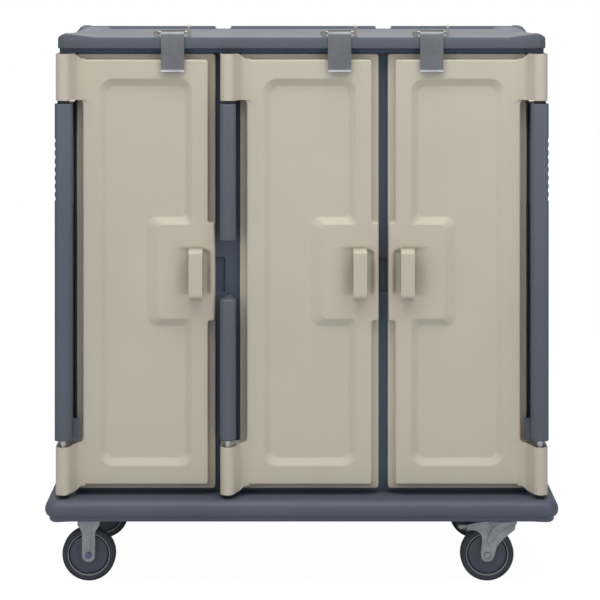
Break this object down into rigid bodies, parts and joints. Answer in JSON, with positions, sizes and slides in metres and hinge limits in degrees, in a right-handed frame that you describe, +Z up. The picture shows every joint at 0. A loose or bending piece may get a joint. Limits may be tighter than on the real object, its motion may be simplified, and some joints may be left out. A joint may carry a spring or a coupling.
{
  "type": "tray meal delivery cart",
  "caption": "Insulated tray delivery cart with hinged doors side by side, push bars at the door posts, roof latches, a bumper base, and rigid and braked swivel casters.",
  "frame": {"origin": "on the floor, in the middle of the bounding box", "axes": "+Z up, doors towards -Y, +X to the right as the doors are faced"},
  "size_m": [1.446, 0.708, 1.5843],
  "materials": {
    "body": "slate blue-grey moulded polyethylene, fine grain",
    "bumper": "slate blue-grey moulded polyethylene",
    "door": "beige moulded polyethylene, soft sheen",
    "liner": "beige moulded polyethylene",
    "gasket": "dark soft seal",
    "bushing": "black nylon",
    "pin_steel": "plain steel bar",
    "latch_steel": "stainless sheet, brushed",
    "slide_metal": "stainless sheet",
    "caster_zinc": "zinc-plated pressed steel",
    "tyre": "non-marking dark grey polyurethane",
    "wheel_core": "dark grey moulded core"
  },
  "bodies": {
    "chassis": {"base_bumper": "bumper", "cabinet_shell": "body", "roof_cap": "body", "handle_post_left": "body", "handle_post_right": "body", "middle_post_lower": "body", "middle_post_upper": "body", "hinge_pin_left_lower": "pin_steel", "hinge_pin_left_upper": "pin_steel", "hinge_pin_middle_lower": "pin_steel", "hinge_pin_middle_upper": "pin_steel", "hinge_pin_right_lower": "pin_steel", "hinge_pin_right_upper": "pin_steel", "hinge_bushing_left": "bushing", "hinge_bushing_middle": "bushing", "hinge_bushing_right": "bushing", "tray_slide_left_1": "slide_metal", "tray_slide_left_2": "slide_metal", "tray_slide_middle_1": "slide_metal", "tray_slide_middle_2": "slide_metal", "tray_slide_right_1": "slide_metal", "tray_slide_right_2": "slide_metal", "latch_bracket_left": "latch_steel", "latch_bracket_middle": "latch_steel", "latch_bracket_right": "latch_steel", "caster_frame_left_front": "caster_zinc", "caster_frame_left_back": "caster_zinc", "caster_plate_right_front": "caster_zinc", "caster_plate_right_back": "caster_zinc", "wheel_axle_left_front": "pin_steel", "wheel_axle_left_back": "pin_steel"},
    "door_left": {"door_left_shell": "door", "door_left_liner": "liner", "door_left_gasket": "gasket", "door_left_handle": "door"},
    "door_middle": {"door_middle_shell": "door", "door_middle_liner": "liner", "door_middle_gasket": "gasket", "door_middle_handle": "door"},
    "door_right": {"door_right_shell": "door", "door_right_liner": "liner", "door_right_gasket": "gasket", "door_right_handle": "door"},
    "flap_left": {"latch_flap_left": "latch_steel"},
    "flap_middle": {"latch_flap_middle": "latch_steel"},
    "flap_right": {"latch_flap_right": "latch_steel"},
    "wheel_left_front": {"wheel_tyre_left_front": "tyre", "wheel_core_left_front": "wheel_core"},
    "wheel_left_back": {"wheel_tyre_left_back": "tyre", "wheel_core_left_back": "wheel_core"},
    "fork_right_front": {"caster_fork_right_front": "caster_zinc", "wheel_axle_right_front": "pin_steel"},
    "fork_right_back": {"caster_fork_right_back": "caster_zinc", "wheel_axle_right_back": "pin_steel"},
    "wheel_right_front": {"wheel_tyre_right_front": "tyre", "wheel_core_right_front": "wheel_core"},
    "wheel_right_back": {"wheel_tyre_right_back": "tyre", "wheel_core_right_back": "wheel_core"},
    "pedal_right_front": {"brake_pedal_right_front": "caster_zinc"},
    "pedal_right_back": {"brake_pedal_right_back": "caster_zinc"}
  },
  "joints": [
    {"name": "door_left_hinge", "type": "hinge", "parent": "chassis", "child": "door_left", "pos_m": [-0.672, -0.309, 0.9], "axis": [0, 0, -1], "range_deg": [0, 270]},
    {"name": "door_middle_hinge", "type": "hinge", "parent": "chassis", "child": "door_middle", "pos_m": [-0.208, -0.309, 0.9], "axis": [0, 0, -1], "range_deg": [0, 180]},
    {"name": "door_right_hinge", "type": "hinge", "parent": "chassis", "child": "door_right", "pos_m": [0.672, -0.309, 0.9], "axis": [0, 0, 1], "range_deg": [0, 270]},
    {"name": "latch_flap_left_hinge", "type": "hinge", "parent": "chassis", "child": "flap_left", "pos_m": [-0.365, -0.279, 1.5633], "axis": [-1, 0, 0], "range_deg": [0, 225]},
    {"name": "latch_flap_middle_hinge", "type": "hinge", "parent": "chassis", "child": "flap_middle", "pos_m": [0.107, -0.279, 1.5633], "axis": [-1, 0, 0], "range_deg": [0, 225]},
    {"name": "latch_flap_right_hinge", "type": "hinge", "parent": "chassis", "child": "flap_right", "pos_m": [0.368, -0.279, 1.5633], "axis": [-1, 0, 0], "range_deg": [0, 225]},
    {"name": "wheel_left_front_spin", "type": "hinge", "parent": "chassis", "child": "wheel_left_front", "pos_m": [-0.606, -0.234, 0.076], "axis": [0, 1, 0], "continuous": true},
    {"name": "wheel_left_back_spin", "type": "hinge", "parent": "chassis", "child": "wheel_left_back", "pos_m": [-0.606, 0.234, 0.076], "axis": [0, 1, 0], "continuous": true},
    {"name": "caster_right_front_swivel", "type": "hinge", "parent": "chassis", "child": "fork_right_front", "pos_m": [0.568, -0.234, 0.17], "axis": [0, 0, 1], "continuous": true},
    {"name": "caster_right_back_swivel", "type": "hinge", "parent": "chassis", "child": "fork_right_back", "pos_m": [0.568, 0.234, 0.17], "axis": [0, 0, 1], "continuous": true},
    {"name": "wheel_right_front_spin", "type": "hinge", "parent": "fork_right_front", "child": "wheel_right_front", "pos_m": [0.528, -0.234, 0.076], "axis": [0, 1, 0], "continuous": true},
    {"name": "wheel_right_back_spin", "type": "hinge", "parent": "fork_right_back", "child": "wheel_right_back", "pos_m": [0.528, 0.234, 0.076], "axis": [0, 1, 0], "continuous": true},
    {"name": "brake_pedal_right_front_press", "type": "hinge", "parent": "fork_right_front", "child": "pedal_right_front", "pos_m": [0.49, -0.234, 0.153], "axis": [0, -1, 0], "range_deg": [0, 12]},
    {"name": "brake_pedal_right_back_press", "type": "hinge", "parent": "fork_right_back", "child": "pedal_right_back", "pos_m": [0.49, 0.234, 0.153], "axis": [0, -1, 0], "range_deg": [0, 12]}
  ]
}
